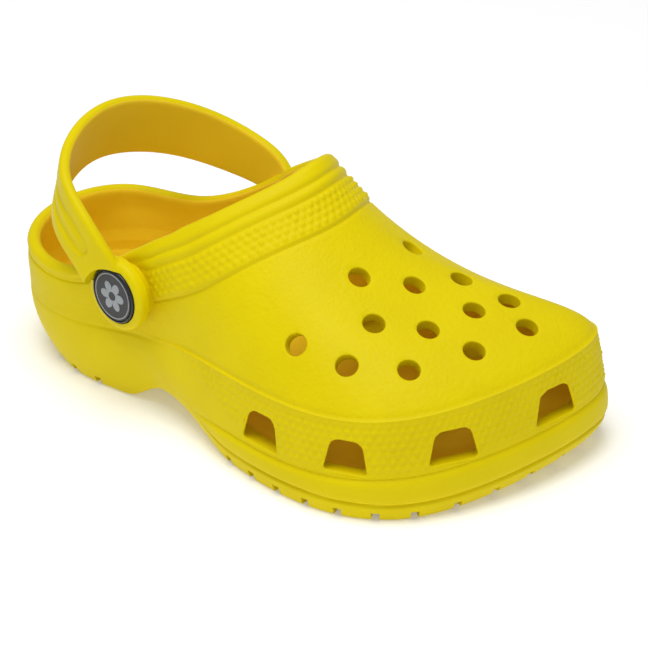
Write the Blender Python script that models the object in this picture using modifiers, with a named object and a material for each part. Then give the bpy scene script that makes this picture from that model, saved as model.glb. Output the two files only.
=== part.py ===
"""Child's foam garden clog, right foot: one moulded body, a swinging heel strap and two snap rivets.

Run with: blender --background --python part.py

Design values are in millimetres, and MM turns them into metres. A place on the shoe is (x, s, z): x is
towards the inner side of the foot, s runs from the back of the heel to the toe, and z is up from the ground.
In the scene the toe points along -Y, and the origin is under the middle of the shoe, on the ground.
"""
import math

import bmesh
import bpy
import numpy as np
from mathutils import Matrix, Vector

MM = 0.001

# ---- Where the shoe's own axes sit in the scene ----
MIDDLE_X = 0.0             # x under the middle of the bounding box
MIDDLE_S = 96.5            # s under the middle of the bounding box

# ---- Stations round the shoe ----
# Fourteen stations, equally spaced in u from 0 to 1: heel back, outer heel corner, outer heel side,
# outer rivet, outer waist, outer ball, outer toe corner, toe tip, then the same back along the inner side.
OUTLINE_X = (0, -24.5, -33, -33, -40, -48, -32, 24.6, 47.5, 44.8, 38.5, 32.3, 33, 24.5)
OUTLINE_S = (-1.5, 11, 36, 62, 93, 132, 173, 194.6, 179.2, 144, 98, 62, 36, 11)
CREASE_Z = (24, 24, 25, 28, 31, 32, 35, 39, 37.3, 32, 31, 28, 25, 24)
CREASE_INSET = (0, 0, 0, 1, 2, 3, 3.5, 4, 4, 3, 2, 1, 0, 0)
WIDEST_Z = (23, 23, 22, 20, 14, 10, 10, 10, 10, 10, 14, 20, 22, 23)       # height of the widest line
GROUND_INSET = (8.0, 8.0, 5.2, 4.2, 3.3, 2, 2.6, 3.6, 3.8, 3, 3, 5, 6, 8.0)
COLLAR_X = (0, -25.5, -33, -32.5, -29, -18, -6, 5, 16, 24.5, 29.3, 31.8, 32, 26)
COLLAR_S = (2, 12, 37, 62, 79, 93, 102, 105.5, 102.5, 95, 80, 62, 37, 12)
COLLAR_Z = (42, 41, 41.5, 56, 67, 76, 81.5, 84.2, 81.7, 75.4, 65.3, 52.6, 40.8, 40.2)
# The upper is a cubic from the crease to the collar: how far each end holds its direction, and that direction.
CREASE_REACH = (8, 8, 8, 10, 14, 18, 20, 21, 17.5, 11, 12, 10, 8, 8)
CREASE_LEAN = (0, 0, 0, 4, 14, 28, 40, 40, 37, 36.5, 18, 4, 0, 0)        # degrees in from upright
COLLAR_REACH = (8, 8, 7, 8, 14, 28, 43, 51, 50, 34, 15, 8, 7, 8)
COLLAR_PITCH = (83, 82, 80, 79, 62, 48, 47, 53, 54, 50, 63, 79, 80, 82)  # degrees down from level

# ---- Sole and wall ----
LUG_PITCH = 13.3           # along the ground edge, round the toe
LUG_CROWD = 0.2            # how much closer the lugs stand along the sides
LUG_PHASE = 0.5           # where the first notch falls, in pitches
NOTCH = (2.6, 7.0, 3.2)    # along, in and up
ARCH_START, ARCH_FULL_BACK = 53, 70
ARCH_FULL_FRONT, ARCH_END = 72, 107
ARCH_LIFT = 8.3
TOE_SPRING_START, TOE_SPRING = 165, 5
WALL = 5.0                 # side wall, below the crease
UPPER = 3.8                # upper, above the crease
FLOOR_HEEL, FLOOR_ARCH, FLOOR_BALL = 13, 16, 12
SPINE_LENGTH = 0.76        # how much of the sole's length its middle line takes

# ---- Openings in the body ----
VENT_RADIUS = 3.6
VENTS = ((18, 132.5), (19.5, 150.5), (22, 166.5),
         (-8.4, 131), (3.5, 143.5), (9.5, 161.5), (16, 176.5),
         (-18, 143), (-7.7, 156), (-4, 170.5),
         (-35.4, 126.7), (-33.2, 144), (-23.3, 160))
# Side windows: place round the shoe, and width beside the common one
WINDOWS = ((0.338, 1.08), (0.391, 1.0), (0.4395, 1.17), (0.4815, 1.2), (0.56, 1.1), (0.645, 1.0), (0.691, 1.0))
WINDOW_FOOT = 14.0         # width at the bottom
WINDOW_HEAD = 9.5          # width at the top
WINDOW_RISE = 10.5
WINDOW_CLEAR = 6.4         # from its top to the crease
WINDOW_DRAW = (0.79, 0.58, 0.2)    # way out of each window as (x, s, z), mirrored for the two sides

# ---- Rivets ----
RIVET_S, RIVET_Z = 65.0, 43.7    # where the pivot line crosses the middle plane
PIVOT_LINE = (1, 0.148, 0)       # its direction as (x, s, z): the inner rivet sits further forward
SEAT_X = 35.0              # flat seat on the body, from the middle plane
SEAT_RADIUS = 9.5
WALL_INNER_X = 29.8        # flat inside face for the cap
GAP = 0.3
HOLE_RADIUS = 3.4
SHANK_RADIUS = 3.0
HEAD_RADIUS = 9.3
HEAD_THICK = 1.9
BADGE_RADIUS = 8.3
BADGE_THICK = 0.7
CAP_RADIUS = 6.8
CAP_THICK = 1.6
PIN_RADIUS = 1.3
PIN_LENGTH = 5.0
PIN_BORE = 1.6

# ---- Heel strap ----
BOSS_RADIUS = 12.2
BOSS_CLEAR = 0.8           # air round a boss where the body is cut back for it
BOSS_THICK = 4.5
HEAD_POCKET = 1.5          # how deep the head sits in its boss
STRAP_THICK = 3.6
STRAP_WIDTH_END, STRAP_WIDTH_BACK = 13.0, 22.2
# Middle line from the outer rivet round the back to the inner rivet
STRAP_LINE = ((-38.8, 59.4, 43.7), (-39.8, 54.2, 51.4), (-39.0, 46.0, 59.6), (-34.0, 34.8, 67.2),
              (-21.3, 26.4, 72.8), (-2.7, 23.2, 75.3), (16.6, 26.9, 71.9), (30.9, 37.2, 65.8),
              (39.7, 51.0, 58.6), (41.2, 62.3, 53.2), (38.6, 70.5, 43.7))
WIDTH_FULLNESS = 0.7       # power that keeps the band wide until near its ends
STRAP_LEAN = 15.6          # degrees that the band's face looks up, at the back

COLUMNS = 70
OUTLINE_STEP = 0.001


def smoothstep(value, start, end):
    """0 before start, 1 after end, and smooth between."""
    t = np.clip((np.asarray(value, float) - start) / (end - start), 0, 1)
    return t * t * (3 - 2 * t)


def loop(values, u):
    """Smooth closed curve through equally spaced stations, at u from 0 to 1."""
    knots = np.asarray(values, float)
    count = len(knots)
    unit = np.eye(count)
    system = 4 * unit + np.roll(unit, 1, 0) + np.roll(unit, -1, 0)
    slopes = np.linalg.solve(system, 3 * (np.roll(knots, -1) - np.roll(knots, 1)))
    place = (np.asarray(u, float) % 1.0) * count
    low = np.floor(place).astype(int) % count
    high = (low + 1) % count
    f = place - np.floor(place)
    return ((2 * f**3 - 3 * f**2 + 1) * knots[low] + (f**3 - 2 * f**2 + f) * slopes[low]
            + (3 * f**2 - 2 * f**3) * knots[high] + (f**3 - f**2) * slopes[high])


def outline(u):
    """Widest outline seen from above: x, s and the outward normal's x and s."""
    ahead, behind = u + OUTLINE_STEP, u - OUTLINE_STEP
    dx = loop(OUTLINE_X, ahead) - loop(OUTLINE_X, behind)
    ds = loop(OUTLINE_S, ahead) - loop(OUTLINE_S, behind)
    length = np.hypot(dx, ds)
    return loop(OUTLINE_X, u), loop(OUTLINE_S, u), -ds / length, dx / length


def underside(s):
    """Height of the sole's underside: an arch behind the ball, and a toe that lifts."""
    arch = smoothstep(s, ARCH_START, ARCH_FULL_BACK) * (1 - smoothstep(s, ARCH_FULL_FRONT, ARCH_END))
    toe = np.clip((np.asarray(s) - TOE_SPRING_START) / (OUTLINE_S[7] - TOE_SPRING_START), 0, 1) ** 2
    return ARCH_LIFT * arch + TOE_SPRING * toe


def footbed(s):
    """Height of the surface that the foot stands on."""
    waist = smoothstep(s, 40, 75)
    ball = smoothstep(s, 80, 115)
    toe = np.clip((np.asarray(s) - TOE_SPRING_START) / 30, 0, 1) ** 2
    return FLOOR_HEEL + (FLOOR_ARCH - FLOOR_HEEL) * waist + (FLOOR_BALL - FLOOR_ARCH) * ball + TOE_SPRING * toe


def wall_inset(u, z):
    """How far the wall at height z stands in from the widest outline."""
    lift = underside(outline(u)[1])
    crease = loop(CREASE_Z, u)
    widest = loop(WIDEST_Z, u) + lift * 0.5
    below = np.clip((widest - z) / np.maximum(widest - lift, 1), 0, 1)
    above = np.clip((z - widest) / np.maximum(crease - widest, 1), 0, 1)
    return loop(GROUND_INSET, u) * below**2 + loop(CREASE_INSET, u) * above**1.5


def wall_ring(u, z, extra=0.0):
    """Points on the wall at height z, moved in by extra."""
    x, s, nx, ns = outline(u)
    inset = wall_inset(u, z) + extra
    return np.stack([x - nx * inset, s - ns * inset, z + 0 * x], -1)


def upper_ring(u, f):
    """Points on the upper: f is 0 at the crease and 1 at the collar."""
    x, s, nx, ns = outline(u)
    up = np.array([0.0, 0.0, 1.0])
    out = np.stack([nx, ns, 0 * nx], -1)
    crease = wall_ring(u, loop(CREASE_Z, u))
    collar = np.stack([loop(COLLAR_X, u), loop(COLLAR_S, u), loop(COLLAR_Z, u)], -1)
    lean = np.radians(loop(CREASE_LEAN, u))[:, None]
    pitch = np.radians(loop(COLLAR_PITCH, u))[:, None]
    leave = crease + loop(CREASE_REACH, u)[:, None] * (up * np.cos(lean) - out * np.sin(lean))
    away = (crease - collar) * [1, 1, 0]
    span = np.linalg.norm(away, axis=1)[:, None]
    share = smoothstep(span, 6, 20)
    away = away / np.maximum(span, 1e-6) * share + out * (1 - share)
    away /= np.linalg.norm(away, axis=1)[:, None]
    arrive = collar + loop(COLLAR_REACH, u)[:, None] * (away * np.cos(pitch) - up * np.sin(pitch))
    return (1 - f)**3 * crease + 3 * (1 - f)**2 * f * leave + 3 * (1 - f) * f**2 * arrive + f**3 * collar


def upper_normal(u, f):
    """Outward normal of the upper."""
    step = 0.002
    low, high = max(f - step, 0), min(f + step, 1)
    along = upper_ring(u + step, f) - upper_ring(u - step, f)
    rise = upper_ring(u, high) - upper_ring(u, low)
    normal = np.cross(rise, along)
    return normal / np.linalg.norm(normal, axis=1)[:, None]


def scene_point(x, s, z):
    """A place on the shoe as scene coordinates in metres."""
    return Vector(((x - MIDDLE_X) * MM, (MIDDLE_S - s) * MM, z * MM))


def make_material(name, colour, roughness):
    """A plain Principled material."""
    material = bpy.data.materials.new(name)
    material.use_nodes = True
    shader = material.node_tree.nodes["Principled BSDF"]
    shader.inputs["Base Color"].default_value = (*colour, 1)
    shader.inputs["Roughness"].default_value = roughness
    return material


def make_object(name, bm, collection, material=None):
    """A mesh object from a bmesh, with its faces turned outwards."""
    bmesh.ops.recalc_face_normals(bm, faces=bm.faces)
    mesh = bpy.data.meshes.new(name)
    bm.to_mesh(mesh)
    bm.free()
    item = bpy.data.objects.new(name, mesh)
    collection.objects.link(item)
    if material:
        mesh.materials.append(material)
    mesh.shade_smooth()
    mesh.set_sharp_from_angle(angle=math.radians(35))
    return item


def make_cutter(name, bm, collection):
    """A mesh object that only cuts."""
    item = make_object(name, bm, collection)
    item.hide_render = True
    item.display_type = "WIRE"
    return item


def boolean(target, other, operation):
    """Add a Boolean modifier that cuts or joins."""
    change = target.modifiers.new(other.name, "BOOLEAN")
    change.operation = operation
    change.solver = "EXACT"
    change.object = other


def spine_ring(edge, height, share):
    """A ring part of the way from the edge to the middle line of the sole."""
    middle = 0.5 * (edge + np.roll(edge[::-1], 1, 0))
    centre_s = 0.5 * (edge[:, 1].min() + edge[:, 1].max())
    middle[:, 1] = centre_s + (middle[:, 1] - centre_s) * SPINE_LENGTH
    ring = edge + (middle - edge) * share
    ring[:, 2] = height(ring[:, 1])
    return ring


def body_rings(columns):
    """All rings of the body in order, from the underside's middle, over the collar, to the footbed's middle."""
    u = np.arange(columns) / columns
    crease = loop(CREASE_Z, u)
    edge = wall_ring(u, underside(outline(u)[1]))
    edge[:, 2] = underside(edge[:, 1])
    rings = [spine_ring(edge, underside, share) for share in (1, 0.66, 0.33)]
    rings.append(edge)
    low = edge[:, 2]
    for part in (0.14, 0.3, 0.6):
        rings.append(wall_ring(u, low + (crease - low) * part))
    for f in (0, 0.12, 0.25, 0.4, 0.55, 0.7, 0.85, 0.95):
        rings.append(upper_ring(u, f))
    lip = upper_normal(u, 1)
    rim = upper_ring(u, 1)
    tangent = rim - upper_ring(u, 0.98)
    tangent /= np.linalg.norm(tangent, axis=1)[:, None]
    for turn in (20, 90, 160):
        angle = math.radians(turn)
        half = UPPER / 2
        rings.append(rim - lip * half * (1 - math.cos(angle)) + tangent * half * math.sin(angle))
    for f in (0.93, 0.8, 0.62, 0.45, 0.28, 0.12):
        rings.append(upper_ring(u, f) - upper_normal(u, f) * UPPER)
    floor = footbed(outline(u)[1])
    for part in (0.85, 0.45):
        rings.append(wall_ring(u, floor + (crease - floor) * part, WALL))
    foot = wall_ring(u, floor + 3.0, WALL + 1.0)
    rings.append(foot)
    bed = wall_ring(u, floor, WALL + 5.0)
    bed[:, 2] = footbed(bed[:, 1])
    rings.append(bed)
    rings += [spine_ring(bed, footbed, share) for share in (0.5, 1)]
    return rings


def loft_rings(rings):
    """Close the rings into one skin, zipping the first and last along the middle line."""
    bm = bmesh.new()
    count = len(rings[0])
    half = count // 2
    rows = []
    for number, ring in enumerate(rings):
        zipped = number in (0, len(rings) - 1)
        made = [bm.verts.new(scene_point(*point)) for point in (ring[:half + 1] if zipped else ring)]
        rows.append([made[min(i, count - i)] for i in range(count)] if zipped else made)
    for lower, upper in zip(rows, rows[1:]):
        for i in range(count):
            j = (i + 1) % count
            bm.faces.new((lower[i], lower[j], upper[j], upper[i]))
    return bm


def rivet_axis(side):
    """Matrix that takes local +Z to the outward direction of a rivet: side is -1 outer, +1 inner."""
    centre = scene_point(0, RIVET_S, RIVET_Z)
    x, s, z = PIVOT_LINE
    out = Vector((side * x, -side * s, side * z))
    return Matrix.Translation(centre) @ out.to_track_quat("Z", "Y").to_matrix().to_4x4()


def disc_bmesh(radius, low, high, side, segments=32):
    """Cylinder on a rivet axis, between two distances from the middle plane."""
    bm = bmesh.new()
    bmesh.ops.create_cone(bm, cap_ends=True, segments=segments, radius1=radius * MM, radius2=radius * MM,
                          depth=(high - low) * MM)
    lift = Matrix.Translation((0, 0, (low + high) / 2 * MM))
    bmesh.ops.transform(bm, matrix=rivet_axis(side) @ lift, verts=bm.verts)
    return bm


def rounded_outline(corners, radii, steps=3):
    """Points round a polygon whose corners are rounded with their own radii."""
    points = []
    count = len(corners)
    for k in range(count):
        here = Vector(corners[k])
        before = (Vector(corners[k - 1]) - here).normalized()
        after = (Vector(corners[(k + 1) % count]) - here).normalized()
        half = before.angle(after) / 2
        reach = radii[k] / math.tan(half)
        centre = here + (before + after).normalized() * (radii[k] / math.sin(half))
        start, end = here + before * reach - centre, here + after * reach - centre
        for step in range(steps + 1):
            t = step / steps
            points.append(centre + (start * (1 - t) + end * t).normalized() * radii[k])
    return points


def window_outline():
    """A side window seen straight on: narrower at the top, round top corners."""
    foot, head, rise = WINDOW_FOOT / 2, WINDOW_HEAD / 2, WINDOW_RISE
    corners = ((-foot, 0), (foot, 0), (head, rise), (-head, rise))
    return rounded_outline(corners, (1.0, 1.0, 3.0, 3.0))


def window_draw(out, u):
    """Way out of a window: mostly the common direction of its side, and scaled to step 1 away from the wall."""
    x, s, z = WINDOW_DRAW
    way = Vector((-x if u < 0.5 else x, -s, z)) * 0.8 + out * 0.2
    return way / way.dot(out)


def add_window(bm, u, wide):
    """Skewed prism through the wall at u."""
    at = np.array([u])
    top = loop(CREASE_Z, at)[0] - WINDOW_CLEAR
    x, s, nx, ns = (value[0] for value in outline(at))
    out = Vector((nx, -ns, 0))
    across = Vector((-out.y, out.x, 0))
    base = scene_point(x, s, top - WINDOW_RISE)
    ends = []
    for reach in (4, -9):
        place = base + window_draw(out, u) * reach * MM
        ends.append([bm.verts.new(place + across * px * wide * MM + Vector((0, 0, py * MM)))
                     for px, py in window_outline()])
    bm.faces.new(ends[0])
    bm.faces.new(ends[1][::-1])
    count = len(ends[0])
    for k in range(count):
        bm.faces.new((ends[0][k], ends[1][k], ends[1][(k + 1) % count], ends[0][(k + 1) % count]))


def place_on_upper(x, s):
    """Point and outward normal of the upper above a place seen from above."""
    u = np.linspace(0.2, 0.8, 241)
    best = None
    for f in np.linspace(0.05, 0.95, 91):
        ring = upper_ring(u, f)
        off = np.hypot(ring[:, 0] - x, ring[:, 1] - s)
        near = int(off.argmin())
        if best is None or off[near] < best[0]:
            best = (off[near], u[near], f)
    at = np.array([best[1]])
    return upper_ring(at, best[2])[0], upper_normal(at, best[2])[0]


def add_vent(bm, x, s):
    """Cylinder through the upper, square to its surface."""
    point, normal = place_on_upper(x, s)
    out = Vector((normal[0], -normal[1], normal[2]))
    turn = out.to_track_quat("Z", "Y").to_matrix().to_4x4()
    made = bmesh.ops.create_cone(bm, cap_ends=True, segments=16, radius1=VENT_RADIUS * MM,
                                 radius2=VENT_RADIUS * MM, depth=16 * MM)
    bmesh.ops.transform(bm, matrix=Matrix.Translation(scene_point(*point)) @ turn, verts=made["verts"])


def notch_places():
    """Where the tread is notched: evenly along the ground edge, except in the arch."""
    u = np.linspace(0, 1, 1401)[:-1]
    x, s, nx, ns = outline(u)
    inset = loop(GROUND_INSET, u)
    edge = np.stack([x - nx * inset, s - ns * inset], -1)
    crowd = 1 + LUG_CROWD * (1 - smoothstep(edge[1:, 1], 150, 178))
    run = np.concatenate([[0], np.cumsum(np.linalg.norm(np.diff(edge, axis=0), axis=1) * crowd)])
    count = round(run[-1] / LUG_PITCH)
    for number in range(count):
        k = int(np.searchsorted(run, (number + LUG_PHASE) * run[-1] / count))
        if underside(edge[k, 1]) < TOE_SPRING and not ARCH_START - 4 < edge[k, 1] < ARCH_END - 3:
            yield edge[k, 0], edge[k, 1], nx[k], ns[k]


def add_notch(bm, x, s, nx, ns):
    """Box across the ground edge."""
    along, deep, high = NOTCH
    size = Matrix.Diagonal((deep * 2 * MM, along * MM, (high + 2) * MM, 1))
    turn = Matrix.Rotation(math.atan2(-ns, nx), 4, "Z")
    middle = scene_point(x, s, underside(s) + high / 2 - 1)
    bmesh.ops.create_cube(bm, size=1, matrix=Matrix.Translation(middle) @ turn @ size)


def make_body(parts, cutters):
    """The one-piece foam moulding: upper, walls, footbed and sole."""
    foam = make_material("yellow_foam", (0.86, 0.72, 0.02), 0.55)
    body = make_object("clog_body", loft_rings(body_rings(COLUMNS)), parts, foam)
    vents, windows, notches = bmesh.new(), bmesh.new(), bmesh.new()
    for x, s in VENTS:
        add_vent(vents, x, s)
    for u, wide in WINDOWS:
        add_window(windows, u, wide)
    for place in notch_places():
        add_notch(notches, *place)
    for side, name in ((-1, "lateral"), (1, "medial")):
        room = disc_bmesh(BOSS_RADIUS + BOSS_CLEAR, SEAT_X - GAP, SEAT_X + 10, side, 48)
        boolean(body, make_cutter(name + "_room", room, cutters), "DIFFERENCE")
        seat = disc_bmesh(SEAT_RADIUS, WALL_INNER_X + 1, SEAT_X, side)
        boolean(body, make_cutter(name + "_seat", seat, cutters), "UNION")
        flat = disc_bmesh(CAP_RADIUS + 1.2, 20, WALL_INNER_X, side)
        boolean(body, make_cutter(name + "_flat", flat, cutters), "DIFFERENCE")
        hole = disc_bmesh(HOLE_RADIUS, 20, 50, side, 24)
        boolean(body, make_cutter(name + "_hole", hole, cutters), "DIFFERENCE")
    for name, bm in (("vents", vents), ("windows", windows), ("notches", notches)):
        boolean(body, make_cutter(name, bm, cutters), "DIFFERENCE")
    return body


def smooth_line(points, count):
    """Points along a smooth curve through the given ones."""
    points = np.asarray(points, float)
    gaps = np.sqrt(np.linalg.norm(np.diff(points, axis=0), axis=1))
    knots = np.concatenate([[0], np.cumsum(gaps)])
    total = len(points)
    system = np.zeros((total, total))
    right = np.zeros_like(points)
    system[0, 0] = system[-1, -1] = 1
    for k in range(1, total - 1):
        system[k, k - 1:k + 2] = (gaps[k - 1], 2 * (gaps[k - 1] + gaps[k]), gaps[k])
        right[k] = 6 * ((points[k + 1] - points[k]) / gaps[k] - (points[k] - points[k - 1]) / gaps[k - 1])
    bend = np.linalg.solve(system, right)
    at = np.linspace(0, knots[-1], count)
    low = np.clip(np.searchsorted(knots, at, side="right") - 1, 0, total - 2)
    gap = gaps[low][:, None]
    after = (at - knots[low])[:, None]
    before = gap - after
    return (bend[low] * before**3 + bend[low + 1] * after**3) / (6 * gap) \
        + (points[low] / gap - bend[low] * gap / 6) * before \
        + (points[low + 1] / gap - bend[low + 1] * gap / 6) * after


def strap_frames(count):
    """Along the strap from the outer side to the inner side: point, width direction, face direction, share."""
    line = smooth_line(STRAP_LINE, count)
    tangent = np.gradient(line, axis=0)
    tangent /= np.linalg.norm(tangent, axis=1)[:, None]
    face = np.stack([tangent[:, 1], -tangent[:, 0], 0 * tangent[:, 0]], -1)
    face /= np.linalg.norm(face, axis=1)[:, None]
    run = np.concatenate([[0], np.cumsum(np.linalg.norm(np.diff(line, axis=0), axis=1))])
    share = np.sin(np.pi * run / run[-1])
    face[:, 2] = np.tan(np.radians(STRAP_LEAN) * share)
    width = np.cross(face, tangent)
    width /= np.linalg.norm(width, axis=1)[:, None]
    face = np.cross(tangent, width)
    return line, width, face, share


def make_strap(parts, cutters):
    """The heel strap: a bent band with a round boss at each end, on the pivot line of the rivets."""
    foam = make_material("yellow_strap", (0.86, 0.72, 0.02), 0.5)
    bm = bmesh.new()
    rows = []
    for point, width, face, share in zip(*strap_frames(37)):
        half_width = (STRAP_WIDTH_END + (STRAP_WIDTH_BACK - STRAP_WIDTH_END) * share**WIDTH_FULLNESS) / 2
        half_thick = STRAP_THICK / 2
        row = []
        for px, py in rounded_outline(((-half_width, -half_thick), (half_width, -half_thick),
                                       (half_width, half_thick), (-half_width, half_thick)), (1.5,) * 4, 1):
            row.append(bm.verts.new(scene_point(*(point + width * px + face * py))))
        rows.append(row)
    for lower, upper in zip(rows, rows[1:]):
        for k in range(len(lower)):
            j = (k + 1) % len(lower)
            bm.faces.new((lower[k], lower[j], upper[j], upper[k]))
    bm.faces.new(rows[0][::-1])
    bm.faces.new(rows[-1])
    strap = make_object("heel_strap", bm, parts, foam)
    inside = SEAT_X + GAP
    outside = inside + BOSS_THICK
    for side, name in ((-1, "lateral"), (1, "medial")):
        boss = disc_bmesh(BOSS_RADIUS, inside, outside, side)
        boolean(strap, make_cutter(name + "_boss", boss, cutters), "UNION")
        pocket = disc_bmesh(HEAD_RADIUS + GAP, outside - HEAD_POCKET, outside + 5, side)
        boolean(strap, make_cutter(name + "_pocket", pocket, cutters), "DIFFERENCE")
        hole = disc_bmesh(HOLE_RADIUS, 30, 50, side, 24)
        boolean(strap, make_cutter(name + "_strap_hole", hole, cutters), "DIFFERENCE")
    pivot = scene_point(0, RIVET_S, RIVET_Z)
    strap.data.transform(Matrix.Translation(-pivot))
    strap.location = pivot
    return strap


def turned(name, profile, side, parts, material):
    """A turned piece on a rivet axis, from its profile of (radius, distance from the middle plane)."""
    bm = bmesh.new()
    made = [bm.verts.new((radius * MM, 0, height * MM)) for radius, height in profile]
    for first, second in zip(made, made[1:]):
        bm.edges.new((first, second))
    mesh = bpy.data.meshes.new(name)
    bm.to_mesh(mesh)
    bm.free()
    item = bpy.data.objects.new(name, mesh)
    parts.objects.link(item)
    mesh.materials.append(material)
    spin = item.modifiers.new("turn", "SCREW")
    spin.steps = 32
    spin.render_steps = 32
    spin.use_merge_vertices = True
    spin.merge_threshold = 0.00001
    spin.use_smooth_shade = True
    item.matrix_world = rivet_axis(side)
    return item


def make_rivet(side, name, parts, black, grey):
    """One snap rivet: the head with its hollow shank, the disc set in the head, and the cap inside the shoe."""
    head_under = SEAT_X + GAP + BOSS_THICK - HEAD_POCKET + GAP
    head_top = head_under + HEAD_THICK
    recess = head_top - BADGE_THICK - GAP
    flange = WALL_INNER_X - GAP
    turned(name + "_rivet", (
        (0, recess), (BADGE_RADIUS + GAP, recess), (BADGE_RADIUS + GAP, head_top), (HEAD_RADIUS - 0.5, head_top),
        (HEAD_RADIUS, head_top - 0.5), (HEAD_RADIUS, head_under), (SHANK_RADIUS, head_under),
        (SHANK_RADIUS, WALL_INNER_X), (PIN_BORE, WALL_INNER_X), (PIN_BORE, flange + PIN_LENGTH + 0.5),
        (0, flange + PIN_LENGTH + 0.5)), side, parts, black)
    turned(name + "_badge", (
        (0, head_top), (BADGE_RADIUS, head_top), (BADGE_RADIUS, recess + GAP), (0, recess + GAP)),
        side, parts, grey)
    turned(name + "_cap", (
        (0, flange + PIN_LENGTH), (PIN_RADIUS, flange + PIN_LENGTH), (PIN_RADIUS, flange), (CAP_RADIUS, flange),
        (CAP_RADIUS, flange - CAP_THICK + 0.6), (CAP_RADIUS - 0.6, flange - CAP_THICK), (0, flange - CAP_THICK)),
        side, parts, black)


def main():
    """Clear the scene and model the clog."""
    for item in list(bpy.data.objects):
        bpy.data.objects.remove(item)
    parts = bpy.data.collections.new("garden_clog")
    cutters = bpy.data.collections.new("cutters")
    bpy.context.scene.collection.children.link(parts)
    bpy.context.scene.collection.children.link(cutters)
    make_body(parts, cutters)
    make_strap(parts, cutters)
    black = make_material("black_rivet", (0.012, 0.012, 0.013), 0.35)
    badge = make_material("badge_face", (0.02, 0.02, 0.022), 0.4)
    for side, name in ((-1, "lateral"), (1, "medial")):
        make_rivet(side, name, parts, black, badge)


main()
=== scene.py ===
"""Looks of a child's foam garden clog: moulded body, swinging heel strap and two snap rivets.

Design values are in millimetres, and MM turns them into metres. A place on the shoe is (x, s, z): x is
towards the inner side of the foot, s runs from the back of the heel to the toe, and z is up from the ground.
"""

import math

import bmesh
import bpy
import numpy as np
from mathutils import Matrix, Vector
from mathutils.bvhtree import BVHTree


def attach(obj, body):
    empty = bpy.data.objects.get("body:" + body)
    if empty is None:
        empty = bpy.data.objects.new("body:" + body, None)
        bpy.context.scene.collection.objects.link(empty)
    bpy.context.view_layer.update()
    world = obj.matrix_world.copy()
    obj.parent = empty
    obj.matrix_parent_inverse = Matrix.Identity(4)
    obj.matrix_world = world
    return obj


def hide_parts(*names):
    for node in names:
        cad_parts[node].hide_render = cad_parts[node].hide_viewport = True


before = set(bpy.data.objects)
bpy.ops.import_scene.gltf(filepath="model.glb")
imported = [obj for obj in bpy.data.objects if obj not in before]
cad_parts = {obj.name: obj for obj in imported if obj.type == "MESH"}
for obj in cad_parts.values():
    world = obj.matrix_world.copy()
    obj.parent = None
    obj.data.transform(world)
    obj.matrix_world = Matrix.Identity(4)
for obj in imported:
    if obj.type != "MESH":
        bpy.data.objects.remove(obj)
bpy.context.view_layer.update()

MM = 0.001

# ---- Where the shoe's own axes sit in the scene ----
MIDDLE_X = 0.0             # x under the middle of the bounding box
MIDDLE_S = 96.5            # s under the middle of the bounding box

# ---- Stations round the shoe ----
# Fourteen stations, equally spaced in u from 0 to 1: heel back, outer heel corner, outer heel side,
# outer rivet, outer waist, outer ball, outer toe corner, toe tip, then the same back along the inner side.
OUTLINE_X = (0, -24.5, -33, -33, -40, -48, -32, 24.6, 47.5, 44.8, 38.5, 32.3, 33, 24.5)
OUTLINE_S = (-1.5, 11, 36, 62, 93, 132, 173, 194.6, 179.2, 144, 98, 62, 36, 11)
CREASE_Z = (24, 24, 25, 28, 31, 32, 35, 39, 37.3, 32, 31, 28, 25, 24)
CREASE_INSET = (0, 0, 0, 1, 2, 3, 3.5, 4, 4, 3, 2, 1, 0, 0)
WIDEST_Z = (23, 23, 22, 20, 14, 10, 10, 10, 10, 10, 14, 20, 22, 23)       # height of the widest line
GROUND_INSET = (8.0, 8.0, 5.2, 4.2, 3.3, 2, 2.6, 3.6, 3.8, 3, 3, 5, 6, 8.0)
COLLAR_X = (0, -25.5, -33, -32.5, -29, -18, -6, 5, 16, 24.5, 29.3, 31.8, 32, 26)
COLLAR_S = (2, 12, 37, 62, 79, 93, 102, 105.5, 102.5, 95, 80, 62, 37, 12)
COLLAR_Z = (42, 41, 41.5, 56, 67, 76, 81.5, 84.2, 81.7, 75.4, 65.3, 52.6, 40.8, 40.2)
# The upper is a cubic from the crease to the collar: how far each end holds its direction, and which.
CREASE_REACH = (8, 8, 8, 10, 14, 18, 20, 21, 17.5, 11, 12, 10, 8, 8)
CREASE_LEAN = (0, 0, 0, 4, 14, 28, 40, 40, 37, 36.5, 18, 4, 0, 0)        # degrees in from upright
COLLAR_REACH = (8, 8, 7, 8, 14, 28, 43, 51, 50, 34, 15, 8, 7, 8)
COLLAR_PITCH = (83, 82, 80, 79, 62, 48, 47, 53, 54, 50, 63, 79, 80, 82)  # degrees down from level

# ---- Sole and wall ----
LUG_PITCH = 13.3           # along the ground edge, round the toe
LUG_CROWD = 0.2            # how much closer the lugs stand along the sides
LUG_PHASE = 0.5            # where the first notch falls, in pitches
NOTCH = (2.6, 7.0, 3.2)    # along, in and up
ARCH_START, ARCH_FULL_BACK = 53, 70
ARCH_FULL_FRONT, ARCH_END = 72, 107
ARCH_LIFT = 8.3
TOE_SPRING_START, TOE_SPRING = 165, 5
WALL = 5.0                 # side wall, below the crease
UPPER = 3.8                # upper, above the crease
FLOOR_HEEL, FLOOR_ARCH, FLOOR_BALL = 13, 16, 12
SPINE_LENGTH = 0.76        # how much of the sole's length its middle line takes

# ---- Openings in the body ----
VENT_RADIUS = 3.6
VENTS = ((18, 132.5), (19.5, 150.5), (22, 166.5),
         (-8.4, 131), (3.5, 143.5), (9.5, 161.5), (16, 176.5),
         (-18, 143), (-7.7, 156), (-4, 170.5),
         (-35.4, 126.7), (-33.2, 144), (-23.3, 160))
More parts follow.
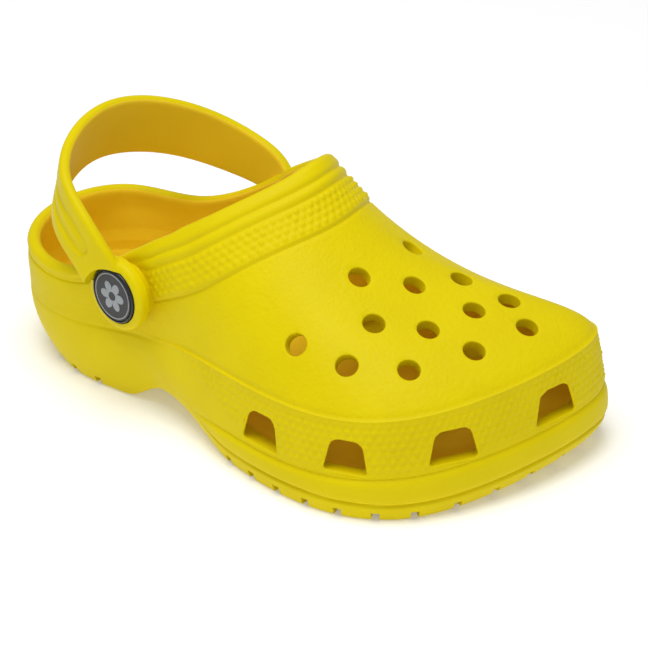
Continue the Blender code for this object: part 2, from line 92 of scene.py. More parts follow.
# Side windows: place round the shoe, and width beside the common one
WINDOWS = ((0.338, 1.08), (0.391, 1.0), (0.4395, 1.17), (0.4815, 1.2),
           (0.56, 1.1), (0.645, 1.0), (0.691, 1.0))
WINDOW_FOOT = 14.0         # width at the bottom
WINDOW_HEAD = 9.5          # width at the top
WINDOW_RISE = 10.5
WINDOW_CLEAR = 6.4         # from its top to the crease
WINDOW_DRAW = (0.79, 0.58, 0.2)    # way out of each window as (x, s, z), mirrored for the two sides

# ---- Rivets ----
RIVET_S, RIVET_Z = 65.0, 43.7    # where the pivot line crosses the middle plane
PIVOT_LINE = (1, 0.148, 0)       # its direction as (x, s, z): the inner rivet sits further forward
SEAT_X = 35.0              # flat seat on the body, from the middle plane
SEAT_RADIUS = 9.5
WALL_INNER_X = 29.8        # flat inside face for the cap
GAP = 0.3
HOLE_RADIUS = 3.4
SHANK_RADIUS = 3.0
HEAD_RADIUS = 9.3
HEAD_THICK = 1.9
BADGE_RADIUS = 8.3
BADGE_THICK = 0.7
CAP_RADIUS = 6.8
CAP_THICK = 1.6
PIN_RADIUS = 1.3
PIN_LENGTH = 5.0
PIN_BORE = 1.6

# ---- Heel strap ----
BOSS_RADIUS = 12.2
BOSS_CLEAR = 0.8           # air round a boss where the body is cut back for it
BOSS_THICK = 4.5
HEAD_POCKET = 1.5          # how deep the head sits in its boss
STRAP_THICK = 3.6
STRAP_WIDTH_END, STRAP_WIDTH_BACK = 13.0, 22.2
# Middle line from the outer rivet round the back to the inner rivet
STRAP_LINE = ((-38.8, 59.4, 43.7), (-39.8, 54.2, 51.4), (-39.0, 46.0, 59.6), (-34.0, 34.8, 67.2),
              (-21.3, 26.4, 72.8), (-2.7, 23.2, 75.3), (16.6, 26.9, 71.9), (30.9, 37.2, 65.8),
              (39.7, 51.0, 58.6), (41.2, 62.3, 53.2), (38.6, 70.5, 43.7))
WIDTH_FULLNESS = 0.7       # power that keeps the band wide until near its ends
STRAP_LEAN = 15.6          # degrees that the band's face looks up, at the back

# ---- Mesh density ----
COLUMNS = 720
OUTLINE_STEP = 0.001       # of u, for the outline's direction
HEEL_DENSITY = 0.34        # columns per millimetre at the heel, as a share of those round the forefoot
STRIP_ROWS, FOXING_ROWS, SMOOTH_ROWS, BAND_ROWS = 28, 38, 34, 38

# ---- Relief ----
BAND_DEPTH = 19.0          # collar band with its step, measured from the collar edge
FOXING_CELL = 2.75
COLLAR_CELL = 2.7
BUMP = 0.5

# ---- Strap and emblem detail ----
LEAF_START, LEAF_END = 16.0, 62.0      # long pressed panels, along the band from each end
LEAF_HALF = 4.2
LEAF_OFFSET = -1.0
LEAF_DEPTH = 0.7
STRAP_VOXEL = 0.42
RING_RADIUS = 7.6
RING_WIDTH = 0.35
FLOWER_RADIUS = 5.2
FLOWER_HEART = 1.5

WALL_GRAIN, UPPER_GRAIN, INSIDE_GRAIN, STRAP_GRAIN = 0.03, 0.24, 0.05, 0.02    # depth of the skin's grain
FOAM = ((0.74, 0.595, 0.0), (0.78, 0.63, 0.0))
FOAM_INSIDE_PAINTED_BOUNCE = ((0.90, 0.64, 0.02), (0.95, 0.68, 0.025))     # painted bounce light: a warmer, brighter copy of the foam colour, standing in for light that has bounced inside

# ---- Tread grooves under the sole ----
TREAD_FIELDS = ((13.07, 46, 8.7, 15), (112.07, 178, 9.5, 24))    # start, end, pitch and half length
TREAD_HALF, TREAD_DEPTH, TREAD_SLANT, TREAD_GAP = 0.9, 1.3, 4.5, 0.3

# ---- Openings' rims and the cuts for the rivets ----
CUT_DEPTH = 9                # how deep a vent's or a window's cutter reaches
VENT_ROUND, WINDOW_ROUND = 0.45, 0.6
ROOM_REACH = 10              # how far out the body is cut back round a boss
CAP_CLEAR = 1.2              # air round the cap in the wall
BORE_START, BORE_END = 20, 50    # ends of the cutter through the wall, from the middle plane
STRAP_BORE_START = 28
STRAP_BORE_PAST = 5          # how far the strap's cutter runs past the boss

# ---- Camera and studio ----
VIEW_TURN, VIEW_RISE = -54, 30
VIEW_DISTANCE = 0.9
VIEW_TARGET = (16.0, 100.0, 21.4)
LENS = 155.0
WORLD_LIGHT = 0.34
FLOOR_GLOW = 0.19           # keeps the floor white
LIGHTS = (("overhead", (-0.18, -0.02, 1.1), (0, 0, 0), 0.8, 8.7),
          ("front_left", (-0.9, -0.7, 0.7), (0, 0, 0.03), 0.9, 1.3))


def smoothstep(value, start, end):
    """0 before start, 1 after end, and smooth between."""
    t = np.clip((np.asarray(value, float) - start) / (end - start), 0, 1)
    return t * t * (3 - 2 * t)


def loop(values, u):
    """Smooth closed curve through equally spaced stations, at u from 0 to 1."""
    knots = np.asarray(values, float)
    count = len(knots)
    unit = np.eye(count)
    system = 4 * unit + np.roll(unit, 1, 0) + np.roll(unit, -1, 0)
    slopes = np.linalg.solve(system, 3 * (np.roll(knots, -1) - np.roll(knots, 1)))
    place = (np.asarray(u, float) % 1.0) * count
    low = np.floor(place).astype(int) % count
    high = (low + 1) % count
    f = place - np.floor(place)
    return ((2 * f**3 - 3 * f**2 + 1) * knots[low] + (f**3 - 2 * f**2 + f) * slopes[low]
            + (3 * f**2 - 2 * f**3) * knots[high] + (f**3 - f**2) * slopes[high])


def outline(u):
    """Widest outline seen from above: x, s and the outward normal's x and s."""
    ahead, behind = u + OUTLINE_STEP, u - OUTLINE_STEP
    dx = loop(OUTLINE_X, ahead) - loop(OUTLINE_X, behind)
    ds = loop(OUTLINE_S, ahead) - loop(OUTLINE_S, behind)
    length = np.hypot(dx, ds)
    return loop(OUTLINE_X, u), loop(OUTLINE_S, u), -ds / length, dx / length


def underside(s):
    """Height of the sole's underside: an arch behind the ball, and a toe that lifts."""
    arch = smoothstep(s, ARCH_START, ARCH_FULL_BACK) * (1 - smoothstep(s, ARCH_FULL_FRONT, ARCH_END))
    toe = np.clip((np.asarray(s) - TOE_SPRING_START) / (OUTLINE_S[7] - TOE_SPRING_START), 0, 1) ** 2
    return ARCH_LIFT * arch + TOE_SPRING * toe


def footbed(s):
    """Height of the surface that the foot stands on."""
    waist = smoothstep(s, 40, 75)
    ball = smoothstep(s, 80, 115)
    toe = np.clip((np.asarray(s) - TOE_SPRING_START) / 30, 0, 1) ** 2
    level = FLOOR_HEEL + (FLOOR_ARCH - FLOOR_HEEL) * waist + (FLOOR_BALL - FLOOR_ARCH) * ball
    return level + TOE_SPRING * toe


def wall_inset(u, z):
    """How far the wall at height z stands in from the widest outline."""
    lift = underside(outline(u)[1])
    crease = loop(CREASE_Z, u)
    widest = loop(WIDEST_Z, u) + lift * 0.5
    below = np.clip((widest - z) / np.maximum(widest - lift, 1), 0, 1)
    above = np.clip((z - widest) / np.maximum(crease - widest, 1), 0, 1)
    return loop(GROUND_INSET, u) * below**2 + loop(CREASE_INSET, u) * above**1.5


def wall_ring(u, z, extra=0.0):
    """Points on the wall at height z, moved in by extra."""
    x, s, nx, ns = outline(u)
    inset = wall_inset(u, z) + extra
    return np.stack([x - nx * inset, s - ns * inset, z + 0 * x], -1)


def upper_at(u, f):
    """Points on the upper: f is 0 at the crease and 1 at the collar, one value or one for each column."""
    x, s, nx, ns = outline(u)
    f = np.broadcast_to(f, u.shape)[:, None]
    up = np.array([0.0, 0.0, 1.0])
    out = np.stack([nx, ns, 0 * nx], -1)
    crease = wall_ring(u, loop(CREASE_Z, u))
    collar = np.stack([loop(COLLAR_X, u), loop(COLLAR_S, u), loop(COLLAR_Z, u)], -1)
    lean = np.radians(loop(CREASE_LEAN, u))[:, None]
    pitch = np.radians(loop(COLLAR_PITCH, u))[:, None]
    leave = crease + loop(CREASE_REACH, u)[:, None] * (up * np.cos(lean) - out * np.sin(lean))
    away = (crease - collar) * [1, 1, 0]
    span = np.linalg.norm(away, axis=1)[:, None]
    share = smoothstep(span, 6, 20)
    away = away / np.maximum(span, 1e-6) * share + out * (1 - share)
    away /= np.linalg.norm(away, axis=1)[:, None]
    arrive = collar + loop(COLLAR_REACH, u)[:, None] * (away * np.cos(pitch) - up * np.sin(pitch))
    return (1 - f)**3 * crease + 3 * (1 - f)**2 * f * leave + 3 * (1 - f) * f**2 * arrive + f**3 * collar


def upper_normal(u, f):
    """Outward normal of the upper."""
    step = 0.002
    low, high = max(f - step, 0), min(f + step, 1)
    along = upper_at(u + step, f) - upper_at(u - step, f)
    rise = upper_at(u, high) - upper_at(u, low)
    normal = np.cross(rise, along)
    return normal / np.linalg.norm(normal, axis=1)[:, None]


def scene_point(x, s, z):
    """A place on the shoe as scene coordinates in metres."""
    return Vector(((x - MIDDLE_X) * MM, (MIDDLE_S - s) * MM, z * MM))


def spine_ring(edge, height, share):
    """A ring part of the way from the edge to the middle line of the sole."""
    middle = 0.5 * (edge + np.roll(edge[::-1], 1, 0))
    centre_s = 0.5 * (edge[:, 1].min() + edge[:, 1].max())
    middle[:, 1] = centre_s + (middle[:, 1] - centre_s) * SPINE_LENGTH
    ring = edge + (middle - edge) * share
    ring[:, 2] = height(ring[:, 1])
    return ring


def rivet_axis(side):
    """Matrix that takes local +Z to the outward direction of a rivet: side is -1 outer, +1 inner."""
    centre = scene_point(0, RIVET_S, RIVET_Z)
    x, s, z = PIVOT_LINE
    out = Vector((side * x, -side * s, side * z))
    return Matrix.Translation(centre) @ out.to_track_quat("Z", "Y").to_matrix().to_4x4()


def rounded_outline(corners, radii, steps=3):
    """Points round a polygon whose corners are rounded with their own radii."""
    points = []
    count = len(corners)
    for k in range(count):
        here = Vector(corners[k])
        before = (Vector(corners[k - 1]) - here).normalized()
        after = (Vector(corners[(k + 1) % count]) - here).normalized()
        half = before.angle(after) / 2
        reach = radii[k] / math.tan(half)
        centre = here + (before + after).normalized() * (radii[k] / math.sin(half))
        start, end = here + before * reach - centre, here + after * reach - centre
        for step in range(steps + 1):
            t = step / steps
            points.append(centre + (start * (1 - t) + end * t).normalized() * radii[k])
    return points


def window_outline():
    """A side window seen straight on: narrower at the top, round top corners."""
    foot, head, rise = WINDOW_FOOT / 2, WINDOW_HEAD / 2, WINDOW_RISE
    corners = ((-foot, 0), (foot, 0), (head, rise), (-head, rise))
    return rounded_outline(corners, (1.0, 1.0, 3.0, 3.0))


def window_draw(out, u):
    """Way out of a window: mostly its side's common direction, scaled to step 1 away from the wall."""
    x, s, z = WINDOW_DRAW
    way = Vector((-x if u < 0.5 else x, -s, z)) * 0.8 + out * 0.2
    return way / way.dot(out)


def place_on_upper(x, s):
    """Point and outward normal of the upper above a place seen from above."""
    u = np.linspace(0.2, 0.8, 241)
    best = None
    for f in np.linspace(0.05, 0.95, 91):
        ring = upper_at(u, f)
        off = np.hypot(ring[:, 0] - x, ring[:, 1] - s)
        near = int(off.argmin())
        if best is None or off[near] < best[0]:
            best = (off[near], u[near], f)
    at = np.array([best[1]])
    return upper_at(at, best[2])[0], upper_normal(at, best[2])[0]


def notch_places():
    """Where the tread is notched: evenly along the ground edge, except in the arch."""
    u = np.linspace(0, 1, 1401)[:-1]
    x, s, nx, ns = outline(u)
    inset = loop(GROUND_INSET, u)
    edge = np.stack([x - nx * inset, s - ns * inset], -1)
    crowd = 1 + LUG_CROWD * (1 - smoothstep(edge[1:, 1], 150, 178))
    run = np.concatenate([[0], np.cumsum(np.linalg.norm(np.diff(edge, axis=0), axis=1) * crowd)])
    count = round(run[-1] / LUG_PITCH)
    for number in range(count):
        k = int(np.searchsorted(run, (number + LUG_PHASE) * run[-1] / count))
        if underside(edge[k, 1]) < TOE_SPRING and not ARCH_START - 4 < edge[k, 1] < ARCH_END - 3:
            yield edge[k, 0], edge[k, 1], nx[k], ns[k]


def add_notch(bm, x, s, nx, ns):
    """Box across the ground edge."""
    along, deep, high = NOTCH
    size = Matrix.Diagonal((deep * 2 * MM, along * MM, (high + 2) * MM, 1))
    turn = Matrix.Rotation(math.atan2(-ns, nx), 4, "Z")
    middle = scene_point(x, s, underside(s) + high / 2 - 1)
    bmesh.ops.create_cube(bm, size=1, matrix=Matrix.Translation(middle) @ turn @ size)


def smooth_line(points, count):
    """Points along a smooth curve through the given ones."""
    points = np.asarray(points, float)
    gaps = np.sqrt(np.linalg.norm(np.diff(points, axis=0), axis=1))
    knots = np.concatenate([[0], np.cumsum(gaps)])
    total = len(points)
    system = np.zeros((total, total))
    right = np.zeros_like(points)
    system[0, 0] = system[-1, -1] = 1
    for k in range(1, total - 1):
        system[k, k - 1:k + 2] = (gaps[k - 1], 2 * (gaps[k - 1] + gaps[k]), gaps[k])
        right[k] = 6 * ((points[k + 1] - points[k]) / gaps[k] - (points[k] - points[k - 1]) / gaps[k - 1])
    bend = np.linalg.solve(system, right)
    at = np.linspace(0, knots[-1], count)
    low = np.clip(np.searchsorted(knots, at, side="right") - 1, 0, total - 2)
    gap = gaps[low][:, None]
    after = (at - knots[low])[:, None]
    before = gap - after
    return (bend[low] * before**3 + bend[low + 1] * after**3) / (6 * gap) \
        + (points[low] / gap - bend[low] * gap / 6) * before \
        + (points[low + 1] / gap - bend[low + 1] * gap / 6) * after


def strap_frames(count):
    """Along the strap from the outer side: point, width direction, face direction and share."""
    line = smooth_line(STRAP_LINE, count)
    tangent = np.gradient(line, axis=0)
    tangent /= np.linalg.norm(tangent, axis=1)[:, None]
    face = np.stack([tangent[:, 1], -tangent[:, 0], 0 * tangent[:, 0]], -1)
    face /= np.linalg.norm(face, axis=1)[:, None]
    run = np.concatenate([[0], np.cumsum(np.linalg.norm(np.diff(line, axis=0), axis=1))])
    share = np.sin(np.pi * run / run[-1])
    face[:, 2] = np.tan(np.radians(STRAP_LEAN) * share)
    width = np.cross(face, tangent)
    width /= np.linalg.norm(width, axis=1)[:, None]
    face = np.cross(tangent, width)
    return line, width, face, share


def add_disc(bm, radius, low, high, side, segments=96):
    """Cylinder on a rivet axis, between two distances from the middle plane."""
    turned(bm, ((0, low), (radius, low), (radius, high), (0, high)), side, segments)


def column_places():
    """u of each mesh column: evenly spaced round the forefoot, and wider apart round the heel."""
    u = np.linspace(0, 1, 4001)
    x, s, _, _ = outline(u)
    weight = HEEL_DENSITY + (1 - HEEL_DENSITY) * smoothstep(s, 45, 75)
    step = np.hypot(np.diff(x), np.diff(s)) * 0.5 * (weight[1:] + weight[:-1])
    run = np.concatenate([[0], np.cumsum(step)])
    toe = run[2000]
    half = COLUMNS // 2
    outer = np.interp(np.linspace(0, toe, half + 1), run, u)[:-1]
    inner = np.interp(np.linspace(toe, run[-1], half + 1), run, u)[:-1]
    return np.concatenate([outer, inner])


def arc_rows(u, distances, from_collar):
    """f on each column at the given distances along the upper, from the collar edge or the crease."""
    f = np.linspace(0, 1, 101)
    rings = np.stack([upper_at(u, value) for value in f])
    steps = np.linalg.norm(np.diff(rings, axis=0), axis=2)
    run = np.concatenate([np.zeros((1, len(u))), np.cumsum(steps, axis=0)])
    total = run[-1]
    reach = total - distances if from_collar else distances
    return np.stack([np.interp(reach[:, k], run[:, k], f) for k in range(len(u))], -1), total


def ring_length(points):
    """Distance along a closed ring at each of its points, zero at the toe."""
    step = np.linalg.norm(np.roll(points, -1, 0) - points, axis=1)
    run = np.concatenate([[0], np.cumsum(step)[:-1]])
    return run - run[len(points) // 2]


def hash_wave(row, column):
    """Repeatable uneven value from 0 to 1 for a cell."""
    value = np.sin(row * 12.9898 + column * 78.233) * 43758.5453
    return value - np.floor(value)


def bumps(along, across):
    """Small round studs in staggered rows, from 0 to 1. Both inputs are counted in cells."""
    row = np.floor(across)
    shifted = along + 0.5 * (row % 2)
    column = np.floor(shifted)
    off = np.hypot(shifted - column - 0.5, across - row - 0.5) / 0.42
    return np.clip(1 - off**2, 0, 1)**1.3 * (0.65 + 0.6 * hash_wave(row, column))


def bell(value, middle, width):
    """Smooth bump of height 1."""
    return np.exp(-((value - middle) / width)**2)


def groove_height(u):
    """Height of the groove under the side windows."""
    return loop(CREASE_Z, u) - WINDOW_CLEAR - WINDOW_RISE - 1.8


def outer_skin(u):
    """Outside of the body from the ground edge up to the collar: points with their relief, and row steps."""
    s = outline(u)[1]
    lift = underside(s)
    crease = loop(CREASE_Z, u)
    groove = groove_height(u)
    fore = smoothstep(s, 84, 104)
    rows, relief, steps = [], [], []

    # Strip under the groove, with the tread lugs at its foot
    for part in np.linspace(0.0, 1, STRIP_ROWS, endpoint=False):
        z = lift + (groove - lift) * part
        q = z - lift
        top = groove - lift
        swell = np.clip((q - 6.3) / np.maximum(top - 6.7, 1), 0, 1)
        height = 0.75 * (1 - (2 * swell - 1)**4) + 0.45 * (1 - smoothstep(q, 5.6, 6.3))
        height -= 0.5 * bell(q, 6.2, 0.5) + 0.45 * bell(q, top, 0.6)
        edge = 0.9 * (1 - np.sqrt(1 - (1 - np.clip(q / 0.9, 0, 1))**2))
        rows.append(wall_ring(u, z))
        relief.append(height * fore - edge)
        steps.append(2)

    # Foxing between the groove and the crease, with rows of bumps
    along = ring_length(wall_ring(u, crease)) / FOXING_CELL
    for part in np.linspace(0, 1, FOXING_ROWS):
        z = groove + (crease - groove) * part
        z_down = crease - z
        low_edge = 1 - smoothstep(s, 80, 122)
        patch = smoothstep(part, low_edge * 0.75 + 0.02, low_edge * 0.75 + 0.14) * smoothstep(s, 72, 88)
        patch = patch * (1 - smoothstep(part, 0.955, 0.985))
        height = BUMP * bumps(along, (1 - part) * 8) * patch
        height = height - 0.45 * bell(z - groove, 0, 0.6) * fore
        height = height + 0.35 * bell(z_down, 0, 0.5) * smoothstep(s, 64, 84)
        heel = 1 - smoothstep(s, 60, 78)
        height = height - 0.35 * bell(z_down, 1.0, 0.5) * heel
        rows.append(wall_ring(u, z))
        relief.append(height)
        steps.append(1)

    # Smooth upper
    flat = np.zeros((1, len(u)))
    _, total = arc_rows(u, flat, True)
    scale = np.minimum(1, 0.6 * total / BAND_DEPTH)
    span = total - BAND_DEPTH * scale
    share = np.linspace(0, 1, SMOOTH_ROWS + 1)[1:]
    share = share - 0.1 * np.sin(2 * np.pi * share)
    distances = share[:, None] * span[None, :]
    f_rows, _ = arc_rows(u, distances, False)
    heel = 1 - smoothstep(s, 56, 76)
    for f, distance in zip(f_rows, distances):
        height = -0.3 * bell(distance, 0.9, 0.7) * smoothstep(s, 64, 84)
        rows.append(upper_at(u, f))
        relief.append(height)
        steps.append(2)

    # Collar band
    d_rows = np.linspace(BAND_DEPTH, 0, BAND_ROWS + 1)[1:]
    f_rows, _ = arc_rows(u, d_rows[:, None] * scale[None, :], True)
    ring = upper_at(u, f_rows[12])
    along = ring_length(ring) / COLLAR_CELL
    front = smoothstep(loop(COLLAR_S, u), 62, 70)
    for f, d in zip(f_rows, d_rows):
        base = 0.75 * (1 - smoothstep(d, 17.2, 18.0)) - 0.35 * bell(d, 18.3, 0.45)
        ridges = 0.45 * bell(d, 5.2, 1.1) + 0.35 * bell(d, 1.4, 1.3) - 0.45 * bell(d, 3.3, 0.5)
        ridges -= 0.45 * bell(d, 7.2, 0.5)
        field = smoothstep(d, 7.6, 8.1) * (1 - smoothstep(d, 16.6, 17.2))
        height = base + ridges + BUMP * field * bumps(along, (d - 7.7) / 2.28)
        lip = 0.5 * bell(d, 0.6, 1.6) - 0.4 * bell(d, 6.0, 0.7)
        rows.append(upper_at(u, f))
        relief.append(height * front + lip * (1 - front))
        steps.append(1)
    points = np.stack(rows)
    relief = np.stack(relief)
    down = np.gradient(points, axis=0)
    around = np.gradient(np.concatenate([points[:, -1:], points, points[:, :1]], 1), axis=1)[:, 1:-1]
    normal = np.cross(down, around)
    normal /= np.maximum(np.linalg.norm(normal, axis=2), 1e-9)[..., None]
    return points + normal * relief[..., None], normal, steps


def inner_skin(u, rim, normal, before):
    """Rounded collar edge, inside walls and footbed, from the last outer ring inwards."""
    tangent = rim - before
    tangent -= normal * (tangent * normal).sum(1)[:, None]
    tangent /= np.linalg.norm(tangent, axis=1)[:, None]
    base = upper_at(u, 1.0)
    proud = ((rim - base) * normal).sum(1)[:, None]
    half = (UPPER + proud) / 2
    rings, steps = [], []
    for turn in (14, 30, 48, 68, 90, 112, 132, 150, 166):
        angle = math.radians(turn)
        rings.append(rim - normal * half * (1 - math.cos(angle)) + tangent * half * math.sin(angle))
        steps.append(2)
    for f in np.linspace(0.975, 0.1, 18):
        rings.append(upper_at(u, f) - upper_normal(u, f) * UPPER)
        steps.append(4)
    floor = footbed(outline(u)[1])
    crease = loop(CREASE_Z, u)
    ledge = floor + 6.2
    for part in (0.88, 0.7, 0.5, 0.3, 0.12):
        rings.append(wall_ring(u, ledge + (crease - ledge) * part, WALL))
        steps.append(4)
    rings += [wall_ring(u, ledge + 0.3, WALL + 0.05), wall_ring(u, ledge - 0.1, WALL + 0.5)]
    steps += [4, 4]
    for turn in (0, 22, 45, 68, 90):
        angle = math.radians(turn)
        inset = WALL + 0.6 + 4.6 * (1 - math.cos(angle))
        ring = wall_ring(u, floor + 4.6 * (1 - math.sin(angle)), inset)
        if turn == 90:
            ring[:, 2] = footbed(ring[:, 1])
        rings.append(ring)
        steps.append(4)
    bed = rings[-1]
    for share in (0.12, 0.28, 0.46, 0.64, 0.82, 1):
        rings.append(spine_ring(bed, footbed, share))
        steps.append(4)
    return rings, steps


def stitch(bm, lower, upper, material):
    """Faces between two closed rows of vertices, where one may have more columns than the other."""
    if len(lower) < len(upper):
        few, many, flip = lower, upper, False
    else:
        few, many, flip = upper, lower, True
    ratio = len(many) // len(few)
    count = len(few)
    for i in range(count):
        a, b = few[i], few[(i + 1) % count]
        fine = [many[(i * ratio + j) % len(many)] for j in range(ratio + 1)]
        if ratio == 1:
            faces = [(a, b, fine[1], fine[0])]
        else:
            mid = ratio // 2
            faces = [(a, fine[j + 1], fine[j]) for j in range(mid)]
            faces += [(b, fine[j + 1], fine[j]) for j in range(mid, ratio)]
            faces.append((a, b, fine[mid]))
        for face in faces:
            unique = list(dict.fromkeys(face[::-1] if flip else face))
            if len(unique) > 2:
                bm.faces.new(unique).material_index = material


def body_skin():
    """The whole body as one closed skin, before its openings are cut."""
    u = column_places()
    outer, normal, steps = outer_skin(u)
    rim = outer[-1]
    inner, inner_steps = inner_skin(u, rim, normal[-1], outer[-2])
    edge = outer[0].copy()
    edge[:, 2] = underside(edge[:, 1])
    under = [spine_ring(edge, underside, share) for share in (1, 0.8, 0.6, 0.4, 0.2, 0.07)]
    rings = under + list(outer) + inner
    steps = [4] * len(under) + steps + inner_steps
    grained = len(under) + STRIP_ROWS + FOXING_ROWS
    inside = len(under) + len(outer) + 5
    bm = bmesh.new()
    rows = []
    for number, (ring, step) in enumerate(zip(rings, steps)):
        picked = ring[::step]
        count = len(picked)
        zipped = number in (0, len(rings) - 1)
        used = picked[:count // 2 + 1] if zipped else picked
        made = [bm.verts.new(scene_point(*point)) for point in used]
        rows.append([made[min(i, count - i)] for i in range(count)] if zipped else made)
    for number, (lower, upper) in enumerate(zip(rows, rows[1:])):
        # Slot 2, the faces inside the shoe, takes the foam whose warmer colour is painted bounce light
        slot = 1 if grained <= number < grained + SMOOTH_ROWS else 2 if number > inside else 0
        stitch(bm, lower, upper, slot)
    bmesh.ops.recalc_face_normals(bm, faces=bm.faces)
    return bm


def face_outwards(bm, faces):
    """Turn one closed shell's faces so that they look out."""
    volume = 0.0
    for face in faces:
        first = face.verts[0].co
        for second, third in zip(face.verts[1:], face.verts[2:]):
            volume += first.dot(second.co.cross(third.co))
    if volume < 0:
        bmesh.ops.reverse_faces(bm, faces=faces)


def flared_cutter(bm, tree, frame_axes, shape, flare, inward, draw=None):
    """Cutter for an opening with a rounded rim that follows the surface it is cut into."""
    origin, across, up, out = frame_axes
    shape = np.asarray(shape)
    edge = np.roll(shape, -1, 0) - np.roll(shape, 1, 0)
    side = np.stack([edge[:, 1], -edge[:, 0]], -1) / np.linalg.norm(edge, axis=1)[:, None]
    if (side * shape).sum() < 0:
        side = -side
    rings = []
    for turn, above in ((0, 0.12), (18, 0), (38, 0), (58, 0), (75, 0), (90, 0)):
        angle = math.radians(turn)
        wide = flare * (1 - math.sin(angle)) * (1.2 if above else 1)
        sunk = flare * (1 - math.cos(angle))
        ring = []
        for px, py in shape + side * wide:
            start = origin + (across * px + up * py + out * 18) * MM
            hit = tree.ray_cast(start, -out, 40 * MM)[0]
            place = hit if hit is not None else origin + (across * px + up * py) * MM
            ring.append(place + out * (above - sunk) * MM)
        rings.append(ring)
    flat = [origin + (across * px + up * py - (draw or out) * inward) * MM for px, py in shape]
    high = [origin + (across * px + up * py + out * 12) * MM for px, py in shape + side * flare * 1.25]
    rows = [[bm.verts.new(point) for point in ring] for ring in [high] + rings + [flat]]
    made = [bm.faces.new(rows[0][::-1]), bm.faces.new(rows[-1])]
    for lower, upper in zip(rows, rows[1:]):
        for k in range(len(lower)):
            j = (k + 1) % len(lower)
            made.append(bm.faces.new((lower[k], lower[j], upper[j], upper[k])))
    face_outwards(bm, made)


def window_axes(u):
    """Origin, across, up and outward directions of a side window."""
    at = np.array([u])
    top = loop(CREASE_Z, at)[0] - WINDOW_CLEAR
    x, s, nx, ns = (value[0] for value in outline(at))
    out = Vector((nx, -ns, 0))
    across = Vector((-out.y, out.x, 0))
    return scene_point(x, s, top - WINDOW_RISE), across, Vector((0, 0, 1)), out


def vent_axes(x, s):
    """Origin, across, up and outward directions of a round vent."""
    point, normal = place_on_upper(x, s)
    out = Vector((normal[0], -normal[1], normal[2])).normalized()
    across = out.cross(Vector((0, 1, 0))).normalized()
    return scene_point(*point), across, out.cross(across), out


def circle(radius, count):
    """Points round a circle."""
    turn = np.arange(count) * 2 * np.pi / count
    return np.stack([np.cos(turn), np.sin(turn)], -1) * radius


def evaluated(item):
    """Replace an object's mesh with what its modifiers make of it."""
    graph = bpy.context.evaluated_depsgraph_get()
    mesh = bpy.data.meshes.new_from_object(item.evaluated_get(graph))
    item.modifiers.clear()
    item.data = mesh


def make_mesh(name, bm, materials=()):
    """A mesh object from a bmesh."""
    mesh = bpy.data.meshes.new(name)
    bm.to_mesh(mesh)
    bm.free()
    item = bpy.data.objects.new(name, mesh)
    bpy.context.scene.collection.objects.link(item)
    for material in materials:
        mesh.materials.append(material)
    return item


def cut(item, tools):
    """Apply Boolean tools, given as (mesh object, operation), one after the other."""
    for tool, operation in tools:
        change = item.modifiers.new(tool.name, "BOOLEAN")
        change.operation = operation
        change.solver = "MANIFOLD"
        change.object = tool
        evaluated(item)
        bpy.data.objects.remove(tool)


def finish_shading(item, angle):
    """Smooth shading with sharp edges over an angle in degrees."""
    item.data.shade_smooth()
    item.data.set_sharp_from_angle(angle=math.radians(angle))


def tread_places():
    """Middles and half lengths of the chevron grooves across the sole."""
    for start, end, pitch, half in TREAD_FIELDS:
        for s in np.arange(start, end, pitch):
            yield s, half


def add_tread(bm):
    """Chevron grooves pressed into the sole, each as two slanted bars."""
    for s, half in tread_places():
        middle = float(0.5 * (np.interp(s, *sides(True)) + np.interp(s, *sides(False)))) + 0.13
        for side in (-1, 1):
            inner, outer = (middle + side * TREAD_GAP, s), (middle + side * half, s - TREAD_SLANT)
            corners = ((inner, -TREAD_HALF), (outer, -TREAD_HALF), (outer, TREAD_HALF), (inner, TREAD_HALF))
            places = [(x, y + shift) for (x, y), shift in corners]
            low = [bm.verts.new(scene_point(x, y, underside(y) - 1)) for x, y in places]
            high = [bm.verts.new(scene_point(x, y, underside(y) + TREAD_DEPTH)) for x, y in places]
            made = []
            for a, b, c, d in (low, high[::-1]):
                made += [bm.faces.new((a, b, c)), bm.faces.new((a, c, d))]
            for k in range(4):
                j = (k + 1) % 4
                made += [bm.faces.new((low[j], low[k], high[k])), bm.faces.new((low[j], high[k], high[j]))]
            face_outwards(bm, made)


def sides(outer):
    """Outline of one side as (s, x) tables with s rising."""
    u = np.linspace(0, 0.5, 200) if outer else np.linspace(1, 0.5, 200)
    x, s, _, _ = outline(u)
    order = np.argsort(s)
    return s[order], x[order]


